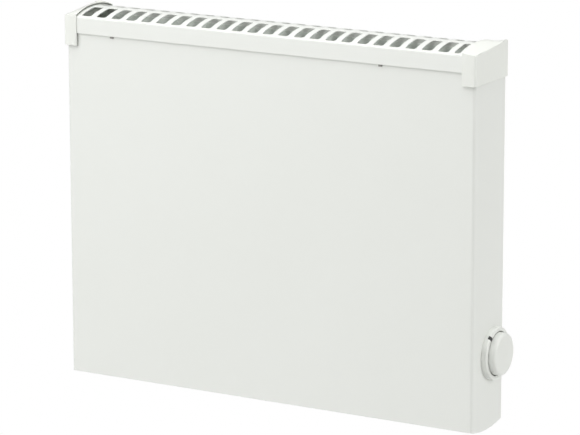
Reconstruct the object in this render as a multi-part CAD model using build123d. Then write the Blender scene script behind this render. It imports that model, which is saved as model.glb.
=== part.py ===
"""Wall panel convector heater with an arched top grille, in millimetres.

X runs to the right seen from the room, Y into the wall and Z up. The origin is
the centre of the wall bracket's four screw holes, on the wall's surface.
"""
from build123d import *
from math import cos, radians, sin, sqrt
import os

# ---- driving dimensions: the casing ----
panel_width = 450.0
body_depth = 62.0
strip_top = 362.0
strip_height = 16.6
strip_cover = 6.0
arch_rise = 6.2
belly_drop = 4.0
bend_radius = 3.0
curve_flats = 6
lip_depth = 8.0
sheet = 1.0
fit_gap = 0.2
wall_gap = 20.0
fixing_height = 180.0

# ---- top grille ----
strip_proud = 2.2
slot_pitch = 17.1
slot_width = 11.0
slot_count = 25
narrow_slot_width = 6.0
slot_first = 8.9
slot_corner = 1.6
slot_front_margin = 3.0
slot_middle_bar = 9.0
edge_round = 1.6

# ---- end caps ----
cap_width = 14.6
cap_height = 29.0
cap_front_proud = 3.1
cap_side_proud = 1.8
cap_rim_proud = 2.4
cap_front_rise = 0.5
cap_back_rise = 6.5
cap_back_cut = 2.8
cap_corner_cut = 1.6
cap_skin = 1.6
cap_rim_skin = 0.7
cap_mouth_room = 2.7
cap_ledge = 2.5
grille_lap = 2.5

# ---- bottom inlet grille ----
inlet_slot_width = 9.0
inlet_slot_length = 38.0
inlet_slot_pitch = 18.0
inlet_slot_count = 18
inlet_first = 34.0
inlet_flange = 9.0

# ---- rear panel ----
rear_flange = 12.0
rear_bottom_gap = 1.0

# ---- thermostat, knob and bezel ----
knob_from_back = 18.5
knob_height = 68.8
bezel_radius = 25.7
bezel_proud = 5.4
bezel_floor = 1.2
bezel_round = 2.0
knob_radius = 20.7
knob_gap = 1.0
knob_face = 12.2
knob_round = 2.6
round_flats = 2
knob_wall = 1.8
knob_lift = 0.8
knob_hub_radius = 6.0
knob_turn = 270.0
stop_rib_angle = 16.0
stop_slack_angle = 1.5
stop_inner = 13.5
stop_outer = 17.5
stop_height = 2.4
spindle_radius = 3.0
running_gap = 0.06
bushing_radius = 5.0
nut_across = 14.0
nut_height = 2.5
thermostat_size = (28.0, 30.0, 40.0)
mark_width = 3.6
mark_angle = 131.0
mark_depth = 2.4

# ---- heating element ----
element_height = 92.0
element_from_back = 29.0
element_left = -176.0
element_right = 132.0
tube_radius = 4.0
tube_end = 16.0
fin_count = 20
fin_depth = 40.0
fin_tall = 62.0
fin_thick = 0.6
fin_inset = 9.0
fin_corner = 6.0
bushing_wall = 3.0
bushing_length = 9.0
bushing_collar = 2.0
bracket_sheet = 1.2
bracket_width = 26.0
shield_stand = 6.0
shield_sheet = 0.6
shield_low = 46.0
shield_from_top = 56.0
shield_side = 22.0
pin_radius = 1.5
pin_length = 9.0

# ---- wiring ----
block_size = (42.0, 17.0, 19.0)
block_right = 44.0
block_height = 22.0
block_poles = 3
pole_screw = 2.6
lead_radius = 1.3
lead_bend = 3.9
wire_sides = 8
cutout_radius = 8.0
cutout_height = 9.0
cutout_above = 150.0
cutout_ear = 12.8
cutout_tab = (0.8, 6.0, 4.0)
stud_radius = 2.0
stud_length = 10.0
gland_from_right = 55.0
gland_from_back = 15.0
gland_bore = 3.7
gland_radius = 7.5
gland_flange = 10.0
gland_below = 5.0
gland_above = 9.0
gland_lip = 2.2
bulb_radius = 3.0
bulb_length = 58.0
bulb_height = 17.0
bulb_from_back = 29.0
clip_shares = (0.12, 0.8)
clip_mouth = 2.4
capillary_radius = 0.9
capillary_bend = 6.0

# ---- wall bracket and its catches ----
bracket_steel = 1.5
upright_x = 110.0
upright_low = 42.0
upright_from_top = 20.0
wall_flange = 22.0
front_flange = 16.0
bracket_seat_gap = 0.3
crossbar_tall = 24.0
crossbar_inset = 34.0
fixing_inset = 10.0
fixing_z = 180.0
fixing_radius = 2.75
hook_height = 78.0
hook_lip = 8.0
hook_reach = 0.5
hook_room = 3.0
catch_from_top = 38.0
catch_shaft = 3.5
catch_head_long = 22.0
catch_head_wide = 7.0
catch_head_thick = 2.0
catch_gap = 0.3
catch_hub_radius = 5.5
catch_hub_length = 7.0
catch_lever_long = 27.0
catch_lever_wide = 8.0
catch_lever_thick = 2.5
catch_corner = 1.8

# ---- small fixings ----
screw_head = 2.6
screw_shank = 1.5
screw_length = 7.0
screw_dome = 2.2
screw_from_back = 14.5
tab_width = 9.0
clip_from_left = 52.5
clip_from_right = 99.5
clip_width = 3.6
clip_drop = 2.0
clip_thick = 1.4

# ---- planes that the pieces share ----
half = panel_width / 2
y_back = -wall_gap
y_front = y_back - body_depth
y_mid = (y_front + y_back) / 2
z_bottom = -fixing_height
z_strip_top = z_bottom + strip_top
z_panel_top = z_strip_top - strip_cover
z_strip_low = z_strip_top - strip_height
strip_front = y_front - strip_proud
strip_back = y_back + strip_proud
half_chord = (strip_back - strip_front) / 2
arch_radius = (half_chord**2 + arch_rise**2) / (2 * arch_rise)
arch_centre = z_strip_top + arch_rise - arch_radius
belly_radius = ((body_depth / 2) ** 2 + belly_drop**2) / (2 * belly_drop)
belly_centre = z_bottom - belly_drop + belly_radius
cap_inner = half + cap_side_proud - cap_width
cap_outer = half + cap_side_proud
grille_end = cap_inner + grille_lap
inside_x = half - sheet
rear_inside = y_back - sheet
shield_front = rear_inside - shield_stand
knob_y = y_back - knob_from_back
knob_z = z_bottom + knob_height
element_y = y_back - element_from_back
element_z = z_bottom + element_height


# ---- shared shapes ----
def block(x0, x1, y0, y1, z0, z1):
    """A box between two corners."""
    centre = Pos((x0 + x1) / 2, (y0 + y1) / 2, (z0 + z1) / 2)
    return centre * Box(x1 - x0, y1 - y0, z1 - z0)


def along_x(x, y, z, radius, length):
    """A round bar that starts at x and runs along +X."""
    return Pos(x + length / 2, y, z) * Rot(0, 90, 0) * Cylinder(radius, length)


def along_y(x, y, z, radius, length):
    """A round bar that starts at y and runs along +Y."""
    return Pos(x, y + length / 2, z) * Rot(90, 0, 0) * Cylinder(radius, length)


def along_z(x, y, z, radius, length):
    """A round bar that starts at z and runs up."""
    return Pos(x, y, z + length / 2) * Cylinder(radius, length)


def bar_x(x, y, z, radius, length):
    """A bar of eight flats whose flats lie at the radius, from x along +X."""
    return side_prism(Pos(y, z) * RegularPolygon(radius, wire_sides, major_radius=False), x, x + length)


def bar_y(x, y, z, radius, length):
    """A bar of eight flats whose flats lie at the radius, from y along +Y."""
    section = Plane.XZ.offset(-y) * Pos(x, z) * RegularPolygon(radius, wire_sides, major_radius=False)
    return extrude(section, -length)


def side_prism(face, x0, x1):
    """A side outline, drawn as (Y, Z), carried along X."""
    return extrude(Plane.YZ.offset(x0) * face, x1 - x0)


def arch_height(y, grow):
    """Height of the top arch at y, for an arch grown outwards by grow."""
    return arch_centre + sqrt((arch_radius + grow) ** 2 - (y - y_mid) ** 2)


def belly_height(y, grow):
    """Height of the bottom curve at y, for a curve grown inwards by grow."""
    return belly_centre - sqrt((belly_radius - grow) ** 2 - (y - y_mid) ** 2)


def flats_between(y0, y1):
    """Depths of the corners of a shallow curve that is bent in flats."""
    return [y0 + (y1 - y0) * i / curve_flats for i in range(curve_flats + 1)]


def arch_face(y0, y1, low, grow):
    """A side outline with an arched top and a flat bottom."""
    top = [(y, arch_height(y, grow)) for y in flats_between(y0, y1)]
    return make_face(Polyline(*top, (y1, low), (y0, low), top[0]))


def belly_face(y0, y1, high, grow):
    """A side outline with a bulging bottom and a flat top."""
    bottom = [(y, belly_height(y, grow)) for y in flats_between(y0, y1)]
    return make_face(Polyline(*bottom, (y1, high), (y0, high), bottom[0]))


def upright_edges(part, y):
    """The vertical edges of a part that lie at y."""
    near = [e for e in part.edges().filter_by(Axis.Z) if abs(e.center().Y - y) < 1e-3]
    return near


def cut_corners(points, cut):
    """The same run of points with each inner corner cut off."""
    run = [Vector(*points[0])]
    for before, corner, after in zip(points, points[1:], points[2:]):
        here = Vector(*corner)
        run.append(here + (Vector(*before) - here).normalized() * cut)
        run.append(here + (Vector(*after) - here).normalized() * cut)
    return run + [Vector(*points[-1])]


def wire_tube(points, bend, radius):
    """A wire of eight flat sides along straight runs, mitred where it turns."""
    path = Polyline(*cut_corners(points, bend))
    section = Plane(path @ 0, z_dir=path % 0) * RegularPolygon(radius, wire_sides)
    return sweep(section, path=path, transition=Transition.RIGHT)


# ---- casing ----
def front_panel():
    """The white pan: front wall with both side walls folded back."""
    low = z_bottom - belly_drop
    skin = block(-half, half, y_front, y_back, low, z_panel_top)
    skin = fillet(upright_edges(skin, y_front), bend_radius)
    room = block(
        -inside_x, inside_x, y_front + sheet, y_back + sheet, low - sheet, z_panel_top + sheet
    )
    room = fillet(upright_edges(room, y_front + sheet), bend_radius - sheet)
    pan = skin - room
    pan &= side_prism(belly_face(y_front, y_back, z_panel_top, 0), -half, half)
    lip_back = y_front + sheet + lip_depth
    lip = block(
        -inside_x + bend_radius, inside_x - bend_radius, y_front + sheet / 2, lip_back,
        z_panel_top - sheet, z_panel_top,
    )
    pan += lip
    pan -= bar_x(half - 2 * sheet, knob_y, knob_z, bushing_radius + fit_gap, 3 * sheet)
    tab_y0 = screw_y() - tab_width / 2
    tab_y1 = screw_y() + tab_width / 2
    tab_low = belly_height(tab_y1, sheet) + fit_gap
    for side in (-1, 1):
        x0, x1 = sorted((side * (inside_x - tab_width), side * (half - sheet / 2)))
        tab = block(x0, x1, tab_y0, tab_y1, tab_low, tab_low + sheet)
        pan += tab - along_z(side * screw_x(), screw_y(), tab_low - 1, screw_shank, sheet + 2)
    return pan


def screw_x():
    """Distance of the base screws from the middle."""
    return inside_x - tab_width / 2


def screw_y():
    """Depth of the base screws."""
    return y_back - screw_from_back


def rear_panel():
    """The flat back with folded flanges, hook slots and catch slots."""
    edge = inside_x - fit_gap
    low = z_bottom + rear_bottom_gap
    plate = block(-edge, edge, rear_inside, y_back, low, z_panel_top)
    for side in (-1, 1):
        x0, x1 = sorted((side * edge, side * (edge - sheet)))
        plate += block(x0, x1, rear_inside - rear_flange, rear_inside, low, z_panel_top - cap_height)
        hook_x = side * (upright_x - front_flange / 2)
        slot = hook_lip + bracket_steel + hook_room
        z_top = hook_top() + fit_gap
        reach = front_flange / 2 + hook_room / 2
        plate -= block(
            hook_x - reach, hook_x + reach, rear_inside - sheet, y_back + sheet, z_top - slot, z_top
        )
        x = catch_x(side)
        turn = catch_head_long / 2 + 2 * catch_gap
        wide = catch_head_wide / 2 + 2 * catch_gap
        z = catch_z()
        plate -= block(
            x - wide, x + wide, rear_inside - sheet, y_back + sheet, z - turn, z + turn
        )
    half_tall = thermostat_size[2] / 2 + fit_gap
    return plate - block(
        edge - 2 * sheet, half, rear_inside - 2 * rear_flange, rear_inside,
        knob_z - half_tall, knob_z + half_tall,
    )


def slot_prism(x0, x1, y0, y1, low, high, corner):
    """A slot with cut corners, straight down."""
    outline = Rectangle(x1 - x0, y1 - y0)
    outline = chamfer(outline.vertices(), corner)
    return extrude(Pos((x0 + x1) / 2, (y0 + y1) / 2, low) * outline, high - low)


def top_grille():
    """Arched outlet grille: two rows of slots, a strip folded down each side, ends inside the caps."""
    end = grille_end
    skin = side_prism(arch_face(strip_front, strip_back, z_strip_low, 0), -end, end)
    folds = [
        e for e in skin.edges().filter_by(Axis.X)
        if abs(e.center().Z - z_strip_top) < 1e-3
    ]
    skin = fillet(folds, edge_round)
    room_face = arch_face(strip_front + sheet, strip_back - sheet, z_strip_low - sheet, -sheet)
    skin -= side_prism(room_face, -end - 1, end + 1)
    hem_low = z_strip_low
    hem_high = z_strip_low + sheet
    front_hem = block(-end, end, strip_front, y_front, hem_low, hem_high)
    back_hem = block(-end, end, y_back, strip_back, hem_low, hem_high)
    skin += front_hem
    skin += back_hem
    low = z_panel_top
    high = z_strip_top + 2 * arch_rise
    front_row = (strip_front + slot_front_margin, y_mid - slot_middle_bar / 2)
    back_row = (y_mid + slot_middle_bar / 2, strip_back - slot_front_margin)
    cuts = []
    for i in range(slot_count):
        x0 = -cap_inner + slot_first - slot_width / 2 + i * slot_pitch
        x1 = x0 + (narrow_slot_width if i == slot_count - 1 else slot_width)
        for y0, y1 in (front_row, back_row):
            cuts.append(slot_prism(x0, x1, y0, y1, low, high, slot_corner))
    return skin - cuts


def bottom_grille():
    """Curved inlet grille between the side walls, with a flange at front and back."""
    end = inside_x - fit_gap
    front = y_front + sheet + fit_gap
    back = rear_inside - fit_gap
    high = z_bottom + inlet_flange
    tray = side_prism(belly_face(front, back, high, 0), -end, end)
    tray = fillet(upright_edges(tray, front), bend_radius)
    room_face = belly_face(front + sheet, back - sheet, high + sheet, sheet)
    tray -= side_prism(room_face, -end - 1, end + 1)
    notch_low = z_bottom + rear_bottom_gap - fit_gap
    for side in (-1, 1):
        x0, x1 = sorted((side * (end - sheet - fit_gap), side * half))
        tray -= block(x0, x1, back - 2 * sheet, back + 1, notch_low, high + 1)
        tray -= along_z(side * screw_x(), screw_y(), z_bottom - 2 * belly_drop, screw_shank, high - z_bottom)
    low = z_bottom - 2 * belly_drop
    cuts = []
    for i in range(inlet_slot_count):
        x0 = -half + inlet_first + i * inlet_slot_pitch
        x1 = x0 + inlet_slot_width
        y0 = (front + back) / 2 - inlet_slot_length / 2
        cuts.append(slot_prism(x0, x1, y0, y0 + inlet_slot_length, low, high, slot_corner))
    tray -= cuts
    tray -= gland_prism(gland_radius + 2 * fit_gap, low, high)
    return tray


def end_cap():
    """Right-hand moulded cap, open towards the grille, with a web and ledge under its end."""
    front = y_front - cap_front_proud
    back = y_back + cap_front_proud
    low = z_strip_top - cap_height
    roof_low = z_panel_top + fit_gap
    web = grille_end + cap_mouth_room
    plan = block(cap_inner, cap_outer, front, back, low, z_strip_top + cap_height)
    corners = [e for e in plan.edges().filter_by(Axis.Z) if e.center().X > cap_outer - 1e-3]
    cap = cap_body(cap_inner, cap_outer, 0, 0, low) & chamfer(corners, cap_corner_cut)
    mouth = cap_body(cap_inner, cap_outer, cap_rim_skin, cap_rim_skin, z_strip_low - fit_gap)
    cap -= mouth & block(cap_inner, web, front, back, low, z_strip_top + cap_height)
    cap -= side_prism(cap_hollow(front, back, roof_low), web + cap_skin, cap_outer - cap_skin)
    cap -= block(
        cap_inner - sheet, half + fit_gap, y_front - fit_gap, y_back + fit_gap, low - sheet, roof_low
    )
    under = -sheet - fit_gap
    ledge = side_prism(
        arch_face(ledge_front(0), ledge_back(0), roof_low, under),
        cap_inner - cap_ledge, web + sheet,
    )
    ledge -= side_prism(
        arch_face(ledge_front(cap_skin), ledge_back(cap_skin), low, under - cap_skin),
        cap_inner - cap_ledge - sheet, web,
    )
    return cap + ledge


def ledge_front(inset):
    """Front of the ledge that carries the grille's end."""
    return strip_front + sheet + fit_gap + inset


def ledge_back(inset):
    """Back of the ledge that carries the grille's end."""
    return strip_back - sheet - fit_gap - inset


def cap_body(x0, x1, side_skin, roof_skin, low):
    """The cap's form less a skin: arched at x0, a sloping line at x1, its back corner cut."""
    front = y_front - cap_front_proud + side_skin
    back = y_back + cap_front_proud - side_skin
    rim = arch_curve(front, back, cap_rim_proud - roof_skin)
    line = Line((front, cap_line(front) - roof_skin), (back, cap_line(back) - roof_skin))
    outlines = []
    for x, top in ((x0, rim), (x1, line)):
        sides = Polyline(top @ 1, (back, low), (front, low), top @ 0)
        face = make_face(top + sides)
        rearmost = face.vertices().group_by(Axis.X)[-1]
        face = chamfer(rearmost.sort_by(Axis.Y)[-1], cap_back_cut)
        outlines.append(Plane.YZ.offset(x) * face)
    return loft(outlines, ruled=True)


def cap_line(y):
    """Height of the cap's sloping outer line at y."""
    share = (y - y_front + cap_front_proud) / (body_depth + 2 * cap_front_proud)
    return z_strip_top + cap_front_rise + share * (cap_back_rise - cap_front_rise)


def cap_hollow(front, back, low):
    """Side outline of the room inside the cap, one skin under the lower of its two roof lines."""
    roof = []
    for y in flats_between(front + cap_skin, back - cap_skin):
        roof.append((y, min(arch_height(y, cap_rim_proud), cap_line(y)) - cap_skin))
    return make_face(Polyline(*roof, (roof[-1][0], low), (roof[0][0], low), roof[0]))


def arch_curve(y0, y1, grow):
    """The top arch as one true arc."""
    ends = [(y, arch_height(y, grow)) for y in (y0, y_mid, y1)]
    return ThreePointArc(*ends)


# ---- thermostat ----
def ring(x0, x1, inner, outer):
    """A plain ring about the knob's axis."""
    return along_x(x0, knob_y, knob_z, outer, x1 - x0) - along_x(
        x0 - 1, knob_y, knob_z, inner, x1 - x0 + 2
    )


def sector(x0, x1, inner, outer, middle, width):
    """A piece of a ring about the knob's axis, between two angles from +Y towards +Z."""
    reach = 2 * outer
    corners = [(0, 0)]
    for share in (-0.5, 0, 0.5):
        turn = radians(middle + share * width)
        corners.append((reach * cos(turn), reach * sin(turn)))
    wedge = make_face(Polyline(*corners, corners[0]))
    wedge = side_prism(Pos(knob_y, knob_z) * wedge, x0, x1)
    return ring(x0, x1, inner, outer) & wedge


def turned(*outline):
    """A solid turned about the knob's axis from (X, radius) corners."""
    return Pos(0, knob_y, knob_z) * revolve(make_face(Polyline(*outline, outline[0])), Axis.X)


def eased_edge(x, radius, size):
    """Corners of an outer edge that is rounded in flats, from the side to the face."""
    corners = []
    for i in range(round_flats + 1):
        turn = radians(90 * i / round_flats)
        corners.append((x - size + size * sin(turn), radius - size + size * cos(turn)))
    return corners


def bezel_ring():
    """The trim ring's plain shape, with its floor and rounded rim."""
    rim = half + bezel_proud
    floor = half + bezel_floor
    inner = knob_radius + knob_gap
    ring = turned(
        (half, 0), (half, bezel_radius), *eased_edge(rim, bezel_radius, bezel_round),
        (rim, inner), (floor, inner), (floor, 0),
    )
    return ring - bar_x(half - 1, knob_y, knob_z, bushing_radius + fit_gap, bezel_proud)


def knob_bezel():
    """Round trim ring on the side wall, with the knob's stop on its floor."""
    land_angle = 360 - knob_turn - stop_rib_angle - 2 * stop_slack_angle
    middle = mark_angle + stop_rib_angle / 2 + stop_slack_angle + land_angle / 2
    floor = half + bezel_floor
    land = sector(floor, floor + stop_height, stop_inner, stop_outer, middle, land_angle)
    return bezel_ring() + land - mark_bar(running_gap)


def mark_bar(grow):
    """Room for the setting mark in the bezel's rim."""
    wide = mark_width / 2 + grow
    low = half + bezel_proud - mark_depth - grow
    inner = knob_radius
    bar = block(low, half + 2 * bezel_proud, inner, bezel_radius + sheet, -wide, wide)
    return Pos(0, knob_y, knob_z) * Rot(mark_angle, 0, 0) * bar


def index_mark():
    """Dark setting mark moulded flush into the bezel's rim."""
    return bezel_ring() & mark_bar(0)


def knob():
    """Hollow turning knob with eased edge, hub and stop rib."""
    low = half + bezel_floor + knob_lift
    top = half + knob_face
    core_top = top - knob_wall
    core_radius = knob_radius - knob_wall
    hub_low = half + bezel_floor + nut_height + 2 * knob_lift
    socket = spindle_radius + running_gap
    socket_top = spindle_end() + fit_gap
    body = turned(
        (low, core_radius), (low, knob_radius), *eased_edge(top, knob_radius, knob_round),
        (top, 0), (core_top, 0), (core_top, core_radius),
    )
    rib_top = core_top + sheet / 2
    body += bar_x(hub_low, knob_y, knob_z, knob_hub_radius, rib_top - hub_low)
    body -= bar_x(hub_low - 1, knob_y, knob_z, socket, socket_top - hub_low + 1)
    return body + sector(low, rib_top, stop_inner, stop_outer, mark_angle, stop_rib_angle)


def spindle_end():
    """X of the spindle's outer end, inside the knob's hub."""
    return half + knob_face - knob_wall - 2 * sheet


def spindle():
    """The thermostat's turning shaft, from inside its body to the knob's hub."""
    start = thermostat_outer() - thermostat_size[0] / 2
    return along_x(start, knob_y, knob_z, spindle_radius, spindle_end() - start)


def thermostat_outer():
    """X of the thermostat body's outer face."""
    return inside_x - fit_gap


def thermostat_body():
    """Thermostat housing with a threaded neck through the side wall."""
    length, wide, tall = thermostat_size
    outer = thermostat_outer()
    body = block(
        outer - length, outer, knob_y - wide / 2, knob_y + wide / 2,
        knob_z - tall / 2, knob_z + tall / 2,
    )
    body = chamfer(body.edges().filter_by(Axis.X), 2 * sheet)
    neck_end = half + bezel_floor + nut_height + fit_gap
    body += along_x(outer, knob_y, knob_z, bushing_radius, neck_end - outer)
    start = outer - length / 2
    bore = spindle_radius + running_gap
    body -= bar_x(start - fit_gap, knob_y, knob_z, bore, neck_end - start + 1)
    return body


def thermostat_nut():
    """Hexagon nut that clamps the thermostat and bezel to the side wall."""
    start = half + bezel_floor
    hexagon = RegularPolygon(nut_across / 2, 6, major_radius=False)
    nut = side_prism(Pos(knob_y, knob_z) * hexagon, start, start + nut_height)
    return nut - bar_x(start - 1, knob_y, knob_z, bushing_radius, nut_height + 2)


def bulb_start():
    """Right-hand end of the sensing bulb."""
    return thermostat_outer() - thermostat_size[0] - 2 * bulb_radius


def bulb_y():
    """Depth of the sensing bulb."""
    return y_back - bulb_from_back


def thermostat_bulb():
    """Sensing bulb low in the air inlet."""
    z = z_bottom + bulb_height
    return bar_x(bulb_start() - bulb_length, bulb_y(), z, bulb_radius, bulb_length)


def thermostat_capillary():
    """Thin tube from the thermostat down to the bulb."""
    z = z_bottom + bulb_height
    x_down = thermostat_outer() - thermostat_size[0] / 2
    z_start = knob_z - thermostat_size[2] / 2
    points = [(x_down, bulb_y(), z_start), (x_down, bulb_y(), z), (bulb_start(), bulb_y(), z)]
    return wire_tube(points, capillary_bend, capillary_radius)


def bulb_clips():
    """Two spring clips that carry the bulb above the inlet grille."""
    clips = []
    z = z_bottom + bulb_height
    wide = bulb_radius + sheet
    for share in clip_shares:
        x = bulb_start() - share * bulb_length
        x0 = x - bulb_radius
        x1 = x + bulb_radius
        clip = block(x0, x1, bulb_y() - wide, bulb_y() + wide, z_bottom, z + bulb_radius / 2)
        clip -= bar_x(x0 - 1, bulb_y(), z, bulb_radius + running_gap, 2 * bulb_radius + 2)
        clip -= block(
            x0 - 1, x1 + 1, bulb_y() - clip_mouth, bulb_y() + clip_mouth, z, z + 2 * bulb_radius
        )
        clip += block(x0, x1, bulb_y() - sheet, bulb_y() + sheet, z_bottom - belly_drop, z_bottom)
        under = belly_face(y_front - wide, y_back + wide, z_strip_top, sheet + running_gap)
        clip &= side_prism(under, x0 - 1, x1 + 1)
        clips.append(clip)
    return clips


# ---- heating element ----
def heating_element():
    """Straight sheathed heating tube with thinner terminals at its ends."""
    start = element_left - tube_end
    length = element_right - element_left + 2 * tube_end
    tube = along_x(start, element_y, element_z, tube_radius, length)
    pins = []
    for x in (start - pin_length, start + length):
        pins.append(bar_x(x, element_y, element_z, pin_radius, pin_length))
    return tube + pins


def element_fins():
    """Aluminium plate fins threaded on the heating tube."""
    span = element_right - element_left - 2 * fin_inset
    pitch = (span - fin_thick) / (fin_count - 1)
    outline = Rectangle(fin_depth, fin_tall)
    outline = chamfer(outline.vertices(), fin_corner)
    outline -= RegularPolygon(tube_radius + running_gap, wire_sides, major_radius=False)
    outline = Pos(element_y, element_z) * outline
    fins = []
    for i in range(fin_count):
        x = element_left + fin_inset + i * pitch
        fins.append(side_prism(outline, x, x + fin_thick))
    return fins


def element_bushings():
    """Ceramic sleeves that hold the heating tube in its two brackets."""
    outer = tube_radius + bushing_wall
    sleeves = []
    for x in (element_left, element_right):
        start = x - bushing_length / 2
        sleeve = bar_x(start, element_y, element_z, outer, bushing_length)
        collar = x - bracket_sheet / 2 - bushing_collar
        sleeve += bar_x(collar, element_y, element_z, outer + sheet, bushing_collar)
        bore = tube_radius + running_gap
        sleeve -= bar_x(start - 1, element_y, element_z, bore, bushing_length + 2)
        sleeves.append(sleeve)
    return sleeves


def element_brackets():
    """Folded steel brackets that stand off the heat shield at the tube's ends."""
    brackets = []
    hole = tube_radius + bushing_wall + running_gap
    z0 = element_z - bracket_width / 2
    z1 = element_z + bracket_width / 2
    for x in (element_left, element_right):
        x0 = x - bracket_sheet / 2
        x1 = x + bracket_sheet / 2
        arm = block(x0, x1, element_y - bracket_width / 2, shield_front, z0, z1)
        arm = chamfer(upright_ends(arm, element_y - bracket_width / 2), fin_corner)
        arm -= bar_x(x0 - 1, element_y, element_z, hole, bracket_sheet + 2)
        foot_end = x1 + bracket_width / 2
        foot = block(x1, foot_end, shield_front - bracket_sheet, shield_front, z0, z1)
        brackets.append(arm + foot)
    return brackets


def upright_ends(part, y):
    """The edges along X that lie at y."""
    return [e for e in part.edges().filter_by(Axis.X) if abs(e.center().Y - y) < 1e-3]


def heat_shield():
    """Reflector sheet in front of the rear panel, with folded stand-off edges."""
    x0 = element_left - shield_side
    x1 = element_right + shield_side
    z0 = z_bottom + shield_low
    z1 = z_panel_top - shield_from_top
    back = shield_front + shield_sheet
    sheet_plate = block(x0, x1, shield_front, back, z0, z1)
    for z in (z0, z1 - shield_sheet):
        sheet_plate += block(x0, x1, back, rear_inside, z, z + shield_sheet)
    return sheet_plate


def thermal_cutout():
    """Disc thermostat that cuts the power if the air outlet is covered."""
    x = cutout_x()
    z = cutout_z()
    body = bar_y(x, shield_front - cutout_height, z, cutout_radius, cutout_height)
    body += block(
        x - cutout_ear, x + cutout_ear, shield_front - sheet, shield_front,
        z - cutout_radius / 2, z + cutout_radius / 2,
    )
    thick, long, wide = cutout_tab
    face = shield_front - cutout_height
    for side in (-1, 1):
        tab_x = x + side * cutout_radius / 2
        body += block(
            tab_x - thick / 2, tab_x + thick / 2, face - long, face, z - wide / 2, z + wide / 2
        )
    return body


def cutout_x():
    """X of the thermal cut-out."""
    return element_right - 2 * cutout_radius


def cutout_z():
    """Height of the thermal cut-out."""
    return element_z + cutout_above


# ---- wiring ----
def block_x(pole):
    """X of one pole of the terminal block, counted from the right."""
    return half - block_right - block_size[0] * (pole + 0.5) / block_poles


def terminal_block():
    """Three-pole terminal block on the rear panel, beside the gland."""
    wide, deep, tall = block_size
    right = half - block_right
    low = z_bottom + block_height
    body = block(right - wide, right, rear_inside - deep, rear_inside, low, low + tall)
    for pole in range(block_poles):
        x = block_x(pole)
        y = rear_inside - deep / 2
        hole = lead_radius + running_gap
        body -= block(x - hole, x + hole, y - hole, y + hole, low - 1, low + 3 * sheet)
        body -= block(x - hole, x + hole, y - hole, y + hole, block_top(), low + tall + 1)
        screw = Plane.XZ.offset(deep - rear_inside) * Pos(x, low + tall / 2)
        body -= extrude(screw * RegularPolygon(pole_screw, wire_sides), -3 * sheet)
    for pole in range(1, block_poles):
        x = right - pole * wide / block_poles
        body -= block(
            x - sheet / 2, x + sheet / 2, rear_inside - deep - 1, rear_inside - deep + 2 * sheet,
            low - 1, low + tall + 1,
        )
    return body


def block_top():
    """Height where the leads enter the terminal block."""
    return z_bottom + block_height + block_size[2] - 4 * sheet


def lead_to_thermostat():
    """Lead from the first pole up to the thermostat."""
    y = rear_inside - block_size[1] / 2
    z_run = knob_z - thermostat_size[2] / 4
    x_end = thermostat_outer() - thermostat_size[0]
    points = [(block_x(0), y, block_top()), (block_x(0), y, z_run), (x_end, y, z_run)]
    return wire_tube(points, lead_bend, lead_radius)


def lead_to_cutout():
    """Lead from the second pole up to the thermal cut-out."""
    y = rear_inside - block_size[1] / 2
    tab_y = shield_front - cutout_height - cutout_tab[1] / 2
    x_tab = cutout_x() + cutout_radius / 2 + cutout_tab[0] / 2
    points = [
        (block_x(1), y, block_top()),
        (block_x(1), y, block_top() + 10 * sheet),
        (block_x(1), tab_y, block_top() + 24 * sheet),
        (block_x(1), tab_y, cutout_z()),
        (x_tab, tab_y, cutout_z()),
    ]
    return wire_tube(points, lead_bend, lead_radius)


def lead_to_element():
    """Lead from the thermostat to the heating tube's right-hand terminal."""
    x_start = thermostat_outer() - thermostat_size[0]
    x_end = element_right + tube_end + pin_length
    x_turn = (x_start + x_end) / 2
    z_start = knob_z + thermostat_size[2] / 4
    points = [
        (x_start, element_y, z_start),
        (x_turn, element_y, z_start),
        (x_turn, element_y, element_z),
        (x_end, element_y, element_z),
    ]
    return wire_tube(points, lead_bend, lead_radius)


def earth_stud():
    """Earthing screw and nut on the rear panel."""
    x = half - block_right - block_size[0] - 10 * sheet
    z = z_bottom + block_height + block_size[2] / 2
    stud = bar_y(x, rear_inside - stud_length, z, stud_radius, stud_length)
    nut = Plane.XZ.offset(-rear_inside) * Pos(x, z) * RegularPolygon(2 * stud_radius, 6)
    return stud + extrude(nut, 3 * sheet)


def gland_x():
    """X of the cable gland."""
    return half - gland_from_right


def gland_y():
    """Depth of the cable gland."""
    return y_back - gland_from_back


def gland_prism(radius, low, high):
    """A hexagon about the gland's bore, between two heights."""
    return extrude(Pos(gland_x(), gland_y(), low) * RegularPolygon(radius, 6), high - low)


def cable_gland():
    """Moulded cable bushing, clipped in the inlet grille with its mouth down."""
    low = z_bottom - belly_drop - gland_below
    high = z_bottom + gland_above
    x0 = gland_x() - gland_flange
    x1 = gland_x() + gland_flange
    body = gland_prism(gland_radius, low, high)
    flange = gland_prism(gland_flange, low, high)
    for outside, inside in ((-gland_lip, -running_gap), (sheet + running_gap, sheet + gland_lip)):
        band = side_prism(belly_face(y_front, y_back, high, outside), x0, x1)
        band -= side_prism(belly_face(y_front, y_back, high + 1, inside), x0 - 1, x1 + 1)
        body += band & flange
    return body - along_z(gland_x(), gland_y(), low - 1, gland_bore, high - low + 2)


# ---- wall bracket ----
def hook_top():
    """Height of the seat on the bracket's lower hooks."""
    return z_bottom + hook_height


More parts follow.
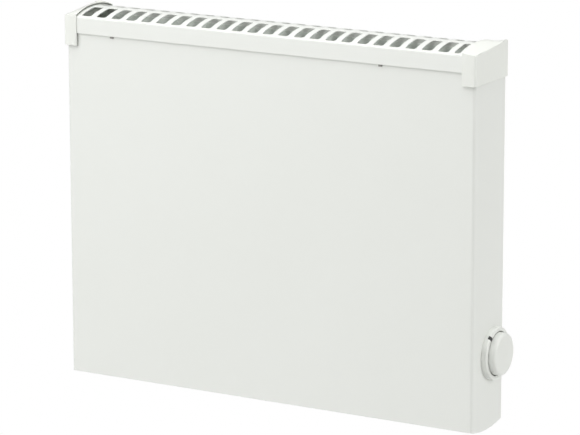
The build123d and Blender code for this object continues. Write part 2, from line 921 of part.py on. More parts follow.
def wall_bracket():
    """Two folded uprights joined by two cross bars, with screw holes and lower hooks."""
    seat = y_back + bracket_seat_gap
    low = z_bottom + upright_low
    high = z_panel_top - upright_from_top
    frame = []
    for side in (-1, 1):
        web = side * upright_x
        inner = side * (upright_x - bracket_steel)
        flange_tip = side * (upright_x - front_flange)
        x0, x1 = sorted((inner, web))
        frame.append(block(x0, x1, seat, 0, low, high))
        x0, x1 = sorted((inner, side * (upright_x + wall_flange)))
        frame.append(block(x0, x1, -bracket_steel, 0, low, high))
        x0, x1 = sorted((web, flange_tip))
        frame.append(block(x0, x1, seat, seat + bracket_steel, low, high))
        x0, x1 = sorted((inner, flange_tip))
        lip_back = rear_inside - hook_reach
        lip_front = lip_back - bracket_steel
        tab_low = hook_top() - bracket_steel
        frame.append(block(x0, x1, lip_front, seat + bracket_steel, tab_low, hook_top()))
        frame.append(block(x0, x1, lip_front, lip_back, tab_low, hook_top() + hook_lip))
    for z in (low + crossbar_inset, high - crossbar_inset - crossbar_tall):
        frame.append(block(-upright_x, upright_x, -bracket_steel, 0, z, z + crossbar_tall))
    bracket = frame[0] + frame[1:]
    for side in (-1, 1):
        bore = catch_shaft + running_gap
        bracket -= bar_y(catch_x(side), seat - 1, catch_z(), bore, bracket_steel + 2)
    fixing_x = upright_x + fixing_inset
    for x in (-fixing_x, fixing_x):
        for z in (-fixing_z / 2, fixing_z / 2):
            bracket -= along_y(x, -2 * bracket_steel, z, fixing_radius, 3 * bracket_steel)
    return bracket


def catch_x(side):
    """X of a catch's shaft."""
    return side * (upright_x - front_flange / 2)


def catch_z():
    """Height of the catches' shafts."""
    return z_panel_top - catch_from_top


def catch(side):
    """Quarter-turn catch: lever behind the bracket, shaft, and a T head inside the rear panel."""
    x = catch_x(side)
    z = catch_z()
    head_back = rear_inside - catch_gap
    hub_front = y_back + bracket_seat_gap + bracket_steel + fit_gap
    head = block(
        x - catch_head_long / 2, x + catch_head_long / 2, head_back - catch_head_thick, head_back,
        z - catch_head_wide / 2, z + catch_head_wide / 2,
    )
    head = chamfer(head.edges().filter_by(Axis.Y), catch_corner)
    shaft = along_y(x, head_back - sheet, z, catch_shaft, hub_front - head_back + 2 * sheet)
    hub = bar_y(x, hub_front, z, catch_hub_radius, catch_hub_length)
    lever_back = hub_front + catch_hub_length
    lever = block(
        x - catch_lever_wide / 2, x + catch_lever_wide / 2, lever_back - catch_lever_thick,
        lever_back, z, z + catch_lever_long,
    )
    tip = [e for e in lever.edges().filter_by(Axis.Y) if e.center().Z > z + sheet]
    lever = chamfer(tip, catch_corner)
    return head + shaft + hub + lever


# ---- small fixings ----
def base_screws():
    """Two pan-head screws that hold the inlet grille up to the side walls' tabs."""
    screws = []
    top = belly_height(screw_y() - screw_head, 0)
    for side in (-1, 1):
        x = side * screw_x()
        head = along_z(x, screw_y(), top - screw_dome, screw_head, screw_dome)
        shank = RegularPolygon(screw_shank - running_gap, wire_sides)
        screws.append(head + extrude(Pos(x, screw_y(), top) * shank, screw_length))
    return screws


def grille_clips():
    """Two small spring clips that show under the grille's front strip."""
    clips = []
    for x in (clip_from_left - half, half - clip_from_right):
        clip = block(
            x - clip_width / 2, x + clip_width / 2, y_front - clip_thick, y_front,
            z_strip_low - clip_drop, z_strip_low,
        )
        clips.append(clip)
    return clips


def build_all():
    """Every piece by its node name."""
    cap = end_cap()
    return {
        "front_panel": front_panel(),
        "rear_panel": rear_panel(),
        "top_grille": top_grille(),
        "bottom_grille": bottom_grille(),
        "end_cap_left": mirror(cap, Plane.YZ),
        "end_cap_right": cap,
        "knob_bezel": knob_bezel(),
        "index_mark": index_mark(),
        "thermostat_knob": knob(),
        "thermostat_spindle": spindle(),
        "thermostat_body": thermostat_body(),
        "thermostat_nut": thermostat_nut(),
        "thermostat_bulb": thermostat_bulb(),
        "thermostat_capillary": thermostat_capillary(),
        "bulb_clips": bulb_clips(),
        "heating_element": heating_element(),
        "element_fins": element_fins(),
        "element_bushings": element_bushings(),
        "element_brackets": element_brackets(),
        "heat_shield": heat_shield(),
        "thermal_cutout": thermal_cutout(),
        "terminal_block": terminal_block(),
        "earth_stud": earth_stud(),
        "lead_to_thermostat": lead_to_thermostat(),
        "lead_to_cutout": lead_to_cutout(),
        "lead_to_element": lead_to_element(),
        "cable_gland": cable_gland(),
        "wall_bracket": wall_bracket(),
        "catch_left": catch(-1),
        "catch_right": catch(1),
        "base_screws": base_screws(),
        "grille_clips": grille_clips(),
    }


def write_parts():
    """Write one file for each node."""
    os.makedirs("parts", exist_ok=True)
    for name, shape in build_all().items():
        if isinstance(shape, list):
            shape = Compound(children=shape)
        export_step(shape, f"parts/{name}.step")


write_parts()
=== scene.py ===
"""Wall panel convector heater with an arched top grille, dressed for the camera.

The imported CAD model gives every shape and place. This script adds the finishes,
the pale floor, the studio light and the camera. Metres, X to the right seen from
the room, Y into the wall, Z up.
"""

from math import cos, radians, sin

import bmesh
import bpy
from mathutils import Matrix, Vector


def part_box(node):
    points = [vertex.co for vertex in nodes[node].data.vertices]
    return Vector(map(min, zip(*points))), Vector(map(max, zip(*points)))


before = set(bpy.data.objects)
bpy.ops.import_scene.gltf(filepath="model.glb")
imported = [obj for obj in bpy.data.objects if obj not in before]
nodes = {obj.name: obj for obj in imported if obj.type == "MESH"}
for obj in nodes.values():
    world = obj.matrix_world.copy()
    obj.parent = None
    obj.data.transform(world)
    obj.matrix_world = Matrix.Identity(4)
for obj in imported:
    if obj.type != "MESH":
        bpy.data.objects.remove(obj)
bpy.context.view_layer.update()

# ---- the camera, as the heater was photographed ----
camera_place = (1.6295, -2.8743, 0.7643)
camera_yaw = radians(29.843)
camera_pitch = radians(13.240)
camera_roll = radians(0.085)
lens_mm = 213.98
sensor_mm = 36.0

# ---- the studio ----
floor_level = -0.43
floor_half = 9.0
floor_roughness = 0.85
horizon_strength = 0.28
zenith_extra = 0.46

# ---- the edges ----
mm = 0.001
weld_distance = 0.001 * mm
rounding_merge_distance = 0.02 * mm
cap_rounding = 1.0 * mm
flat_face_weight = 60


# ---------------------------------------------------------------- node helpers
def add(tree, kind, place, **values):
    """A shader node at a place in the node editor, with its settings."""
    node = tree.nodes.new(kind)
    node.location = place
    for name, value in values.items():
        setattr(node, name, value)
    return node


def named_sockets(group, ins, outs):
    """Gives a node group its named inputs with defaults, and its named outputs."""
    for name, kind, default in ins:
        socket = group.interface.new_socket(name=name, in_out="INPUT", socket_type=kind)
        socket.default_value = default
    for name, kind in outs:
        group.interface.new_socket(name=name, in_out="OUTPUT", socket_type=kind)


def colour_mix(tree, place, blend_type="MIX"):
    """A colour mix node; its sockets are Factor 0, A 6, B 7 and Result 2."""
    return add(tree, "ShaderNodeMix", place, data_type="RGBA", blend_type=blend_type)


FLOAT, COLOUR = "NodeSocketFloat", "NodeSocketColor"


def powder_coat_group():
    """Stoved powder coat: a fine orange peel and broad, faint changes of tone and sheen."""
    group = bpy.data.node_groups.new("powder_coat", "ShaderNodeTree")
    named_sockets(
        group,
        [("Colour", COLOUR, (0.8, 0.8, 0.78, 1)), ("Shade", COLOUR, (0.76, 0.76, 0.74, 1)),
         ("Tone Size", FLOAT, 9.0), ("Peel Size", FLOAT, 420.0),
         ("Sheen Low", FLOAT, 0.34), ("Sheen High", FLOAT, 0.46)],
        [("Colour", COLOUR), ("Roughness", FLOAT), ("Height", FLOAT)],
    )
    links = group.links
    ins = add(group, "NodeGroupInput", (-900, 0))
    outs = add(group, "NodeGroupOutput", (700, 0))
    coord = add(group, "ShaderNodeTexCoord", (-900, -300))
    tone = add(group, "ShaderNodeTexNoise", (-600, 200))
    tone.inputs["Detail"].default_value = 3.0
    links.new(coord.outputs["Object"], tone.inputs["Vector"])
    links.new(ins.outputs["Tone Size"], tone.inputs["Scale"])
    mix = colour_mix(group, (-200, 200))
    links.new(tone.outputs["Fac"], mix.inputs[0])
    links.new(ins.outputs["Colour"], mix.inputs[6])
    links.new(ins.outputs["Shade"], mix.inputs[7])
    peel = add(group, "ShaderNodeTexNoise", (-600, -200))
    peel.inputs["Detail"].default_value = 2.0
    peel.inputs["Roughness"].default_value = 0.4
    links.new(coord.outputs["Object"], peel.inputs["Vector"])
    links.new(ins.outputs["Peel Size"], peel.inputs["Scale"])
    sheen = add(group, "ShaderNodeMapRange", (0, -100))
    links.new(tone.outputs["Fac"], sheen.inputs["Value"])
    links.new(ins.outputs["Sheen Low"], sheen.inputs["To Min"])
    links.new(ins.outputs["Sheen High"], sheen.inputs["To Max"])
    links.new(mix.outputs[2], outs.inputs["Colour"])
    links.new(sheen.outputs["Result"], outs.inputs["Roughness"])
    links.new(peel.outputs["Fac"], outs.inputs["Height"])
    return group


def moulded_group():
    """Injection-moulded plastic: spark-eroded grain, and slow flow marks in the tone."""
    group = bpy.data.node_groups.new("moulded_plastic", "ShaderNodeTree")
    named_sockets(
        group,
        [("Colour", COLOUR, (0.8, 0.8, 0.8, 1)), ("Flow Colour", COLOUR, (0.77, 0.77, 0.76, 1)),
         ("Flow Size", FLOAT, 30.0), ("Grain Size", FLOAT, 1500.0),
         ("Sheen Low", FLOAT, 0.32), ("Sheen High", FLOAT, 0.44)],
        [("Colour", COLOUR), ("Roughness", FLOAT), ("Height", FLOAT)],
    )
    links = group.links
    ins = add(group, "NodeGroupInput", (-900, 0))
    outs = add(group, "NodeGroupOutput", (700, 0))
    coord = add(group, "ShaderNodeTexCoord", (-900, -300))
    flow = add(group, "ShaderNodeTexNoise", (-600, 200))
    flow.inputs["Detail"].default_value = 4.0
    flow.inputs["Distortion"].default_value = 1.2
    links.new(coord.outputs["Object"], flow.inputs["Vector"])
    links.new(ins.outputs["Flow Size"], flow.inputs["Scale"])
    mix = colour_mix(group, (-200, 200))
    links.new(flow.outputs["Fac"], mix.inputs[0])
    links.new(ins.outputs["Colour"], mix.inputs[6])
    links.new(ins.outputs["Flow Colour"], mix.inputs[7])
    grain = add(group, "ShaderNodeTexNoise", (-600, -200))
    grain.inputs["Detail"].default_value = 1.0
    links.new(coord.outputs["Object"], grain.inputs["Vector"])
    links.new(ins.outputs["Grain Size"], grain.inputs["Scale"])
    sheen = add(group, "ShaderNodeMapRange", (0, -100))
    links.new(flow.outputs["Fac"], sheen.inputs["Value"])
    links.new(ins.outputs["Sheen Low"], sheen.inputs["To Min"])
    links.new(ins.outputs["Sheen High"], sheen.inputs["To Max"])
    links.new(mix.outputs[2], outs.inputs["Colour"])
    links.new(sheen.outputs["Result"], outs.inputs["Roughness"])
    links.new(grain.outputs["Fac"], outs.inputs["Height"])
    return group


def rolled_metal_group():
    """Rolled or drawn metal: long fine lines one way, over blotches of duller film."""
    group = bpy.data.node_groups.new("rolled_metal", "ShaderNodeTree")
    named_sockets(
        group,
        [("Colour", COLOUR, (0.6, 0.6, 0.6, 1)), ("Film Colour", COLOUR, (0.5, 0.5, 0.5, 1)),
         ("Line Stretch", "NodeSocketVector", (20.0, 900.0, 900.0)), ("Film Size", FLOAT, 60.0),
         ("Sheen Low", FLOAT, 0.22), ("Sheen High", FLOAT, 0.42)],
        [("Colour", COLOUR), ("Roughness", FLOAT), ("Height", FLOAT)],
    )
    links = group.links
    ins = add(group, "NodeGroupInput", (-1100, 0))
    outs = add(group, "NodeGroupOutput", (700, 0))
    coord = add(group, "ShaderNodeTexCoord", (-1100, -300))
    stretch = add(group, "ShaderNodeVectorMath", (-850, -200), operation="MULTIPLY")
    links.new(coord.outputs["Object"], stretch.inputs[0])
    links.new(ins.outputs["Line Stretch"], stretch.inputs[1])
    lines = add(group, "ShaderNodeTexNoise", (-600, -200))
    lines.inputs["Scale"].default_value = 1.0
    lines.inputs["Detail"].default_value = 3.0
    links.new(stretch.outputs["Vector"], lines.inputs["Vector"])
    film = add(group, "ShaderNodeTexNoise", (-600, 200))
    film.inputs["Detail"].default_value = 5.0
    links.new(coord.outputs["Object"], film.inputs["Vector"])
    links.new(ins.outputs["Film Size"], film.inputs["Scale"])
    mix = colour_mix(group, (-200, 200))
    links.new(film.outputs["Fac"], mix.inputs[0])
    links.new(ins.outputs["Colour"], mix.inputs[6])
    links.new(ins.outputs["Film Colour"], mix.inputs[7])
    both = add(group, "ShaderNodeMath", (-300, -100), operation="MULTIPLY")
    links.new(film.outputs["Fac"], both.inputs[0])
    links.new(lines.outputs["Fac"], both.inputs[1])
    sheen = add(group, "ShaderNodeMapRange", (0, -100))
    sheen.inputs["From Max"].default_value = 0.5
    links.new(both.outputs["Value"], sheen.inputs["Value"])
    links.new(ins.outputs["Sheen Low"], sheen.inputs["To Min"])
    links.new(ins.outputs["Sheen High"], sheen.inputs["To Max"])
    links.new(mix.outputs[2], outs.inputs["Colour"])
    links.new(sheen.outputs["Result"], outs.inputs["Roughness"])
    links.new(lines.outputs["Fac"], outs.inputs["Height"])
    return group


def zinc_spangle_group():
    """Zinc on steel: angular crystals that each take the light a little differently."""
    group = bpy.data.node_groups.new("zinc_spangle", "ShaderNodeTree")
    named_sockets(
        group,
        [("Light Crystal", COLOUR, (0.62, 0.63, 0.64, 1)), ("Dark Crystal", COLOUR, (0.42, 0.43, 0.45, 1)),
         ("Crystal Size", FLOAT, 160.0), ("Sheen Low", FLOAT, 0.3), ("Sheen High", FLOAT, 0.55)],
        [("Colour", COLOUR), ("Roughness", FLOAT), ("Height", FLOAT)],
    )
    links = group.links
    ins = add(group, "NodeGroupInput", (-900, 0))
    outs = add(group, "NodeGroupOutput", (700, 0))
    coord = add(group, "ShaderNodeTexCoord", (-900, -300))
    crystals = add(group, "ShaderNodeTexVoronoi", (-600, 100))
    links.new(coord.outputs["Object"], crystals.inputs["Vector"])
    links.new(ins.outputs["Crystal Size"], crystals.inputs["Scale"])
    split = add(group, "ShaderNodeSeparateColor", (-400, 100))
    links.new(crystals.outputs["Color"], split.inputs["Color"])
    mix = colour_mix(group, (-100, 200))
    links.new(split.outputs["Red"], mix.inputs[0])
    links.new(ins.outputs["Light Crystal"], mix.inputs[6])
    links.new(ins.outputs["Dark Crystal"], mix.inputs[7])
    sheen = add(group, "ShaderNodeMapRange", (0, -100))
    links.new(split.outputs["Green"], sheen.inputs["Value"])
    links.new(ins.outputs["Sheen Low"], sheen.inputs["To Min"])
    links.new(ins.outputs["Sheen High"], sheen.inputs["To Max"])
    links.new(mix.outputs[2], outs.inputs["Colour"])
    links.new(sheen.outputs["Result"], outs.inputs["Roughness"])
    links.new(split.outputs["Blue"], outs.inputs["Height"])
    return group


powder_coat = powder_coat_group()
moulded_plastic = moulded_group()
rolled_metal = rolled_metal_group()
zinc_spangle = zinc_spangle_group()


def finish(name, effect, values, bump_strength, bump_depth, metallic=0.0):
    """A material with one effect group feeding its colour, roughness and bump."""
    material = bpy.data.materials.new(name)
    material.use_nodes = True
    tree = material.node_tree
    tree.nodes.clear()
    out = add(tree, "ShaderNodeOutputMaterial", (600, 0))
    shader = add(tree, "ShaderNodeBsdfPrincipled", (250, 0))
    shader.inputs["Metallic"].default_value = metallic
    placed = add(tree, "ShaderNodeGroup", (-400, 0), node_tree=effect)
    for socket, value in values.items():
        placed.inputs[socket].default_value = value
    bump = add(tree, "ShaderNodeBump", (0, -250))
    bump.inputs["Strength"].default_value = bump_strength
    bump.inputs["Distance"].default_value = bump_depth
    tree.links.new(placed.outputs["Colour"], shader.inputs["Base Color"])
    tree.links.new(placed.outputs["Roughness"], shader.inputs["Roughness"])
    tree.links.new(placed.outputs["Height"], bump.inputs["Height"])
    tree.links.new(bump.outputs["Normal"], shader.inputs["Normal"])
    tree.links.new(shader.outputs["BSDF"], out.inputs["Surface"])
    return material


def rgb(red, green, blue):
    """A colour given as it looks on screen, 0 to 255, as the shader wants it (the sRGB curve undone)."""
    def linear(c):
        c /= 255.0
        return c / 12.92 if c <= 0.04045 else ((c + 0.055) / 1.055) ** 2.4
    return (linear(red), linear(green), linear(blue), 1.0)


# ---------------------------------------------------------------- the finishes
casing_white = finish(
    "casing_white_powder_coat", powder_coat,
    {"Colour": rgb(226, 228, 224), "Shade": rgb(223, 225, 220), "Tone Size": 5.0,
     "Peel Size": 420.0, "Sheen Low": 0.36, "Sheen High": 0.46},
    0.10, 0.2 * mm)
grille_white = finish(
    "grille_white_powder_coat", powder_coat,
    {"Colour": rgb(228, 230, 226), "Shade": rgb(225, 227, 222), "Tone Size": 12.0,
     "Peel Size": 520.0, "Sheen Low": 0.34, "Sheen High": 0.44},
    0.08, 0.2 * mm)
cap_white = finish(
    "end_cap_white_plastic", moulded_plastic,
    {"Colour": rgb(229, 231, 226), "Flow Colour": rgb(226, 228, 222), "Flow Size": 35.0,
     "Grain Size": 1800.0, "Sheen Low": 0.30, "Sheen High": 0.40},
    0.05, 0.1 * mm)
knob_white = finish(
    "knob_white_plastic", moulded_plastic,
    {"Colour": rgb(226, 228, 223), "Flow Colour": rgb(222, 224, 219), "Flow Size": 60.0,
     "Grain Size": 2200.0, "Sheen Low": 0.28, "Sheen High": 0.38},
    0.05, 0.1 * mm)
mark_black = finish(
    "index_mark_black_plastic", moulded_plastic,
    {"Colour": rgb(28, 28, 28), "Flow Colour": rgb(38, 38, 37), "Flow Size": 200.0,
     "Grain Size": 3000.0, "Sheen Low": 0.35, "Sheen High": 0.5},
    0.05, 0.05 * mm)
rear_zinc = finish(
    "rear_panel_zinc_coated_steel", zinc_spangle,
    {"Light Crystal": rgb(238, 243, 237), "Dark Crystal": rgb(210, 217, 209),
     "Crystal Size": 190.0, "Sheen Low": 0.44, "Sheen High": 0.60},
    0.05, 0.05 * mm, metallic=0.1)
bracket_white = finish(
    "wall_bracket_white_paint", powder_coat,
    {"Colour": rgb(224, 225, 221), "Shade": rgb(217, 218, 214), "Tone Size": 9.0,
     "Peel Size": 480.0, "Sheen Low": 0.38, "Sheen High": 0.50},
    0.10, 0.2 * mm)
bracket_zinc = finish(
    "element_bracket_zinc_coated_steel", rolled_metal,
    {"Colour": rgb(190, 193, 196), "Film Colour": rgb(160, 163, 168), "Film Size": 50.0,
     "Line Stretch": (30.0, 900.0, 900.0), "Sheen Low": 0.28, "Sheen High": 0.48},
    0.08, 0.05 * mm, metallic=1.0)
clip_steel = finish(
    "grille_clip_blackened_steel", rolled_metal,
    {"Colour": rgb(152, 151, 147), "Film Colour": rgb(126, 124, 120), "Film Size": 60.0,
     "Line Stretch": (60.0, 900.0, 900.0), "Sheen Low": 0.36, "Sheen High": 0.54},
    0.06, 0.04 * mm, metallic=0.6)
shield_bright = finish(
    "heat_shield_bright_aluminium", rolled_metal,
    {"Colour": rgb(214, 215, 214), "Film Colour": rgb(196, 197, 195), "Film Size": 25.0,
     "Line Stretch": (12.0, 700.0, 700.0), "Sheen Low": 0.24, "Sheen High": 0.40},
    0.06, 0.04 * mm, metallic=1.0)
fin_bright = finish(
    "fin_mill_aluminium", rolled_metal,
    {"Colour": rgb(200, 201, 200), "Film Colour": rgb(176, 176, 174), "Film Size": 80.0,
     "Line Stretch": (900.0, 900.0, 25.0), "Sheen Low": 0.30, "Sheen High": 0.48},
    0.08, 0.04 * mm, metallic=1.0)
sheath_heat_tinted = finish(
    "element_sheath_heat_tinted_steel", rolled_metal,
    {"Colour": rgb(150, 140, 122), "Film Colour": rgb(112, 96, 84), "Film Size": 35.0,
     "Line Stretch": (25.0, 1200.0, 1200.0), "Sheen Low": 0.28, "Sheen High": 0.45},
    0.06, 0.03 * mm, metallic=1.0)
ceramic_cream = finish(
    "bushing_cream_ceramic", moulded_plastic,
    {"Colour": rgb(226, 220, 204), "Flow Colour": rgb(214, 207, 190), "Flow Size": 140.0,
     "Grain Size": 1400.0, "Sheen Low": 0.45, "Sheen High": 0.6},
    0.15, 0.08 * mm)
control_black = finish(
    "thermostat_dark_moulding", moulded_plastic,
    {"Colour": rgb(52, 46, 42), "Flow Colour": rgb(66, 58, 52), "Flow Size": 90.0,
     "Grain Size": 1200.0, "Sheen Low": 0.35, "Sheen High": 0.5},
    0.10, 0.06 * mm)
block_cream = finish(
    "terminal_block_cream_nylon", moulded_plastic,
    {"Colour": rgb(222, 218, 204), "Flow Colour": rgb(212, 206, 190), "Flow Size": 90.0,
     "Grain Size": 1500.0, "Sheen Low": 0.4, "Sheen High": 0.55},
    0.08, 0.06 * mm)
spindle_bright = finish(
    "spindle_turned_steel", rolled_metal,
    {"Colour": rgb(196, 197, 198), "Film Colour": rgb(170, 171, 173), "Film Size": 160.0,
     "Line Stretch": (2500.0, 60.0, 60.0), "Sheen Low": 0.2, "Sheen High": 0.34},
    0.10, 0.03 * mm, metallic=1.0)
copper_drawn = finish(
    "bulb_drawn_copper", rolled_metal,
    {"Colour": rgb(200, 128, 96), "Film Colour": rgb(150, 88, 62), "Film Size": 90.0,
     "Line Stretch": (60.0, 1500.0, 1500.0), "Sheen Low": 0.25, "Sheen High": 0.45},
    0.08, 0.03 * mm, metallic=1.0)
lead_sleeve = finish(
    "lead_red_brown_silicone", moulded_plastic,
    {"Colour": rgb(150, 62, 46), "Flow Colour": rgb(132, 52, 38), "Flow Size": 120.0,
     "Grain Size": 2500.0, "Sheen Low": 0.45, "Sheen High": 0.6},
    0.15, 0.05 * mm)
gland_black = finish(
    "gland_black_nylon", moulded_plastic,
    {"Colour": rgb(40, 40, 40), "Flow Colour": rgb(50, 50, 49), "Flow Size": 80.0,
     "Grain Size": 1600.0, "Sheen Low": 0.38, "Sheen High": 0.5},
    0.08, 0.05 * mm)
catch_black = finish(
    "catch_black_glass_filled_nylon", moulded_plastic,
    {"Colour": rgb(46, 46, 48), "Flow Colour": rgb(60, 60, 61), "Flow Size": 110.0,
     "Grain Size": 1600.0, "Sheen Low": 0.36, "Sheen High": 0.48},
    0.08, 0.05 * mm)
screw_black = finish(
    "screw_blackened_steel", rolled_metal,
    {"Colour": rgb(92, 92, 92), "Film Colour": rgb(66, 65, 64), "Film Size": 400.0,
     "Line Stretch": (900.0, 900.0, 60.0), "Sheen Low": 0.25, "Sheen High": 0.42},
    0.06, 0.02 * mm, metallic=1.0)

dressed = {
    "front_panel": casing_white,
    "rear_panel": rear_zinc,
    "top_grille": grille_white,
    "bottom_grille": casing_white,
    "end_cap_left": cap_white,
    "end_cap_right": cap_white,
    "knob_bezel": knob_white,
    "index_mark": mark_black,
    "thermostat_knob": knob_white,
    "thermostat_spindle": spindle_bright,
    "thermostat_body": control_black,
    "thermostat_nut": spindle_bright,
    "thermostat_bulb": copper_drawn,
    "thermostat_capillary": copper_drawn,
    "bulb_clips": spindle_bright,
    "heating_element": sheath_heat_tinted,
    "element_fins": fin_bright,
    "element_bushings": ceramic_cream,
    "element_brackets": bracket_zinc,
    "heat_shield": shield_bright,
    "thermal_cutout": control_black,
    "terminal_block": block_cream,
    "earth_stud": spindle_bright,
    "lead_to_thermostat": lead_sleeve,
    "lead_to_cutout": lead_sleeve,
    "lead_to_element": lead_sleeve,
    "cable_gland": gland_black,
    "wall_bracket": bracket_white,
    "catch_left": catch_black,
    "catch_right": catch_black,
    "base_screws": screw_black,
    "grille_clips": clip_steel,
}
for name, material in dressed.items():
    slots = nodes[name].material_slots
    if not slots:
        nodes[name].data.materials.append(material)
    for slot in slots:
        slot.material = material


# ---------------------------------------------------------------- soft edges
def geometry_tree(name):
    """A modifier's node tree with one shape going in and one coming out."""
    tree = bpy.data.node_groups.new(name, "GeometryNodeTree")
    for way in ("INPUT", "OUTPUT"):
        tree.interface.new_socket(name="Geometry", in_out=way, socket_type="NodeSocketGeometry")
    return tree


def smooth_shading():
    """A modifier's node tree that lets light run smoothly over the small flats of a curve."""
    tree = geometry_tree("smooth_shading")
    ins = add(tree, "NodeGroupInput", (-300, 0))
    smooth = add(tree, "GeometryNodeSetShadeSmooth", (0, 0))
    outs = add(tree, "NodeGroupOutput", (300, 0))
    tree.links.new(ins.outputs["Geometry"], smooth.inputs["Geometry"])
    tree.links.new(smooth.outputs["Geometry"], outs.inputs["Geometry"])
    return tree


def outer_edge_weights(inner_x, sharpest):
    """A modifier's node tree that picks the sharp edges farther out than inner_x for rounding."""
    tree = geometry_tree("outer_edges")
    ins = add(tree, "NodeGroupInput", (-300, 200))
    outs = add(tree, "NodeGroupOutput", (600, 0))
    place = add(tree, "GeometryNodeInputPosition", (-900, 0))
    split = add(tree, "ShaderNodeSeparateXYZ", (-700, 0))
    across = add(tree, "ShaderNodeMath", (-500, 0), operation="ABSOLUTE")
    outer = add(tree, "FunctionNodeCompare", (-300, 0), data_type="FLOAT", operation="GREATER_THAN")
    outer.inputs["B"].default_value = inner_x
    fold = add(tree, "GeometryNodeInputMeshEdgeAngle", (-500, -250))
    sharp = add(tree, "FunctionNodeCompare", (-300, -250), data_type="FLOAT", operation="GREATER_THAN")
    sharp.inputs["B"].default_value = sharpest
    both = add(tree, "FunctionNodeBooleanMath", (0, -100), operation="AND")
    store = add(tree, "GeometryNodeStoreNamedAttribute", (300, 0), data_type="FLOAT", domain="EDGE")
    store.inputs["Name"].default_value = "bevel_weight_edge"
    tree.links.new(place.outputs["Position"], split.inputs["Vector"])
    tree.links.new(split.outputs["X"], across.inputs[0])
    tree.links.new(across.outputs["Value"], outer.inputs["A"])
    tree.links.new(fold.outputs["Unsigned Angle"], sharp.inputs["A"])
    tree.links.new(outer.outputs["Result"], both.inputs[0])
    tree.links.new(sharp.outputs["Result"], both.inputs[1])
    tree.links.new(ins.outputs["Geometry"], store.inputs["Geometry"])
    tree.links.new(both.outputs["Boolean"], store.inputs["Value"])
    tree.links.new(store.outputs["Geometry"], outs.inputs["Geometry"])
    return tree


def within_sides(side):
    """A modifier's node tree that keeps a rounded end cap within the caps' two outer side faces."""
    tree = geometry_tree("within_sides")
    ins = add(tree, "NodeGroupInput", (-300, 200))
    outs = add(tree, "NodeGroupOutput", (600, 0))
    place = add(tree, "GeometryNodeInputPosition", (-900, 0))
    right = add(tree, "ShaderNodeVectorMath", (-600, 0), operation="MINIMUM")
    right.inputs[1].default_value = (side, 1.0, 1.0)
    left = add(tree, "ShaderNodeVectorMath", (-300, 0), operation="MAXIMUM")
    left.inputs[1].default_value = (-side, -1.0, -1.0)
    moved = add(tree, "GeometryNodeSetPosition", (0, 0))
    joined = add(tree, "GeometryNodeMergeByDistance", (300, 0))
    joined.inputs["Distance"].default_value = rounding_merge_distance
    tree.links.new(place.outputs["Position"], right.inputs[0])
    tree.links.new(right.outputs["Vector"], left.inputs[0])
    tree.links.new(left.outputs["Vector"], moved.inputs["Position"])
    tree.links.new(ins.outputs["Geometry"], moved.inputs["Geometry"])
    tree.links.new(moved.outputs["Geometry"], joined.inputs["Geometry"])
    tree.links.new(joined.outputs["Geometry"], outs.inputs["Geometry"])
    return tree


smooth_all = smooth_shading()
cap_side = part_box("end_cap_right")[1][0]
between_sides = within_sides(cap_side)


def soften(name, radius, steps, sharpest, outer_x=None):
    """Rounds a piece's edges as pressing or moulding leaves them, and smooths the shading between.

    Edges folded by more than `sharpest` degrees are rounded; with outer_x only those farther out.
    """
    piece = nodes[name]
    weld = piece.modifiers.new("joined_faces", "WELD")
    weld.merge_threshold = weld_distance
    if outer_x is not None:
        picked = piece.modifiers.new("picked_edges", "NODES")
        picked.node_group = outer_edge_weights(outer_x, radians(sharpest))
    rounding = piece.modifiers.new("soft_edges", "BEVEL")
    rounding.width = radius
    rounding.segments = steps
    rounding.limit_method = "ANGLE" if outer_x is None else "WEIGHT"
    rounding.use_clamp_overlap = outer_x is None
    rounding.angle_limit = radians(sharpest)
    if outer_x is not None:
        kept = piece.modifiers.new("kept_within_sides", "NODES")
        kept.node_group = between_sides
    smooth = piece.modifiers.new("smooth", "NODES")
    smooth.node_group = smooth_all
    flat_faces = piece.modifiers.new("flat_faces", "WEIGHTED_NORMAL")
    flat_faces.keep_sharp = False
    flat_faces.weight = flat_face_weight


for cap in ("end_cap_left", "end_cap_right"):
    soften(cap, cap_rounding, 3, 20, cap_side - cap_rounding)
soften("front_panel", 0.3 * mm, 2, 30)
soften("top_grille", 0.25 * mm, 1, 30)
soften("thermostat_knob", 0.5 * mm, 2, 24)
soften("knob_bezel", 0.4 * mm, 2, 24)


# ---------------------------------------------------------------- the studio
def pale_floor():
    """A plain pale floor well below the heater, seen by the camera as plain white."""
    mesh = bpy.data.meshes.new("floor")
    shape = bmesh.new()
    bmesh.ops.create_grid(shape, x_segments=2, y_segments=2, size=floor_half)
    shape.to_mesh(mesh)
    shape.free()
    floor = bpy.data.objects.new("floor", mesh)
    floor.location = (0, 0, floor_level)
    bpy.context.scene.collection.objects.link(floor)
    material = bpy.data.materials.new("pale_floor")
    material.use_nodes = True
    tree = material.node_tree
    out = tree.nodes["Material Output"]
    shader = tree.nodes["Principled BSDF"]
    shader.inputs["Roughness"].default_value = floor_roughness
    noise = add(tree, "ShaderNodeTexNoise", (-600, 0))
    noise.inputs["Scale"].default_value = 3.0
    mix = colour_mix(tree, (-300, 0))
    mix.inputs[6].default_value = rgb(222, 222, 221)
    mix.inputs[7].default_value = rgb(214, 214, 213)
    seen = add(tree, "ShaderNodeEmission", (0, 300))
    path = add(tree, "ShaderNodeLightPath", (0, 600))
    either = add(tree, "ShaderNodeMixShader", (300, 300))
    tree.links.new(noise.outputs["Fac"], mix.inputs[0])
    tree.links.new(mix.outputs[2], shader.inputs["Base Color"])
    tree.links.new(path.outputs["Is Camera Ray"], either.inputs["Fac"])
    tree.links.new(shader.outputs["BSDF"], either.inputs[1])
    tree.links.new(seen.outputs["Emission"], either.inputs[2])
    tree.links.new(either.outputs["Shader"], out.inputs["Surface"])
    mesh.materials.append(material)


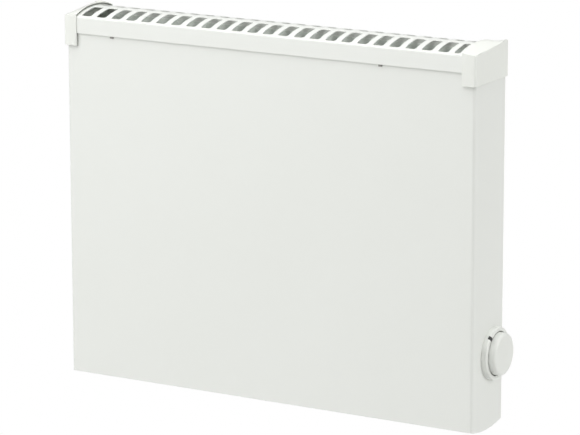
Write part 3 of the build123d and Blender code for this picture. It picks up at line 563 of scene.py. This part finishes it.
def soft_light(name, place, aim, size, power):
    """A large square soft box at a place, turned to what it lights."""
    light = bpy.data.lights.new(name, "AREA")
    light.shape = "SQUARE"
    light.size = size
    light.energy = power
    box = bpy.data.objects.new(name, light)
    box.location = place
    box.rotation_euler = (Vector(aim) - Vector(place)).to_track_quat("-Z", "Y").to_euler()
    bpy.context.scene.collection.objects.link(box)


def white_surround():
    """A white surround that lights softly, more from overhead; the camera sees plain white."""
    world = bpy.data.worlds.new("surround")
    bpy.context.scene.world = world
    world.use_nodes = True
    tree = world.node_tree
    tree.nodes.clear()
    out = add(tree, "ShaderNodeOutputWorld", (600, 0))
    seen = add(tree, "ShaderNodeBackground", (200, 120))
    seen.inputs["Color"].default_value = (1, 1, 1, 1)
    seen.inputs["Strength"].default_value = 1.0
    lights = add(tree, "ShaderNodeBackground", (200, -80))
    lights.inputs["Color"].default_value = (1, 1, 1, 1)
    direction = add(tree, "ShaderNodeTexCoord", (-600, -80))
    split = add(tree, "ShaderNodeSeparateXYZ", (-400, -80))
    overhead = add(tree, "ShaderNodeMapRange", (-150, -80))
    overhead.inputs["To Min"].default_value = horizon_strength
    overhead.inputs["To Max"].default_value = horizon_strength + zenith_extra
    path = add(tree, "ShaderNodeLightPath", (0, 400))
    mix = add(tree, "ShaderNodeMixShader", (400, 0))
    tree.links.new(direction.outputs["Generated"], split.inputs["Vector"])
    tree.links.new(split.outputs["Z"], overhead.inputs["Value"])
    tree.links.new(overhead.outputs["Result"], lights.inputs["Strength"])
    tree.links.new(path.outputs["Is Camera Ray"], mix.inputs["Fac"])
    tree.links.new(lights.outputs["Background"], mix.inputs[1])
    tree.links.new(seen.outputs["Background"], mix.inputs[2])
    tree.links.new(mix.outputs["Shader"], out.inputs["Surface"])


def photo_camera():
    """The camera at the photograph's place and angle, level but for a slight roll."""
    forward = Vector((
        -sin(camera_yaw) * cos(camera_pitch), cos(camera_yaw) * cos(camera_pitch), -sin(camera_pitch)))
    level = Vector((cos(camera_yaw), sin(camera_yaw), 0))
    down = forward.cross(level)
    right = cos(camera_roll) * level + sin(camera_roll) * down
    up = sin(camera_roll) * level - cos(camera_roll) * down
    turn = Matrix((right, up, -forward)).transposed().to_4x4()
    lens = bpy.data.cameras.new("camera")
    lens.lens = lens_mm
    lens.sensor_width = sensor_mm
    lens.sensor_fit = "HORIZONTAL"
    lens.clip_start = 0.05
    lens.clip_end = 60.0
    camera = bpy.data.objects.new("camera", lens)
    camera.matrix_world = Matrix.Translation(camera_place) @ turn
    bpy.context.scene.collection.objects.link(camera)
    bpy.context.scene.camera = camera


pale_floor()
soft_light("key_light", (-0.95, -1.45, 0.70), (-0.05, -0.08, 0.02), 1.3, 12.8)
soft_light("front_light", (0.35, -1.50, 1.70), (0.0, -0.05, 0.1), 0.45, 10.0)
soft_light("side_light", (1.6, 0.45, 0.45), (0.22, -0.05, 0), 0.7, 10.0)
soft_light("top_light", (0.0, -0.35, 1.8), (0, -0.05, 0), 1.2, 13.0)
white_surround()
photo_camera()
bpy.context.scene.view_settings.view_transform = "Standard"
bpy.context.scene.view_settings.look = "None"
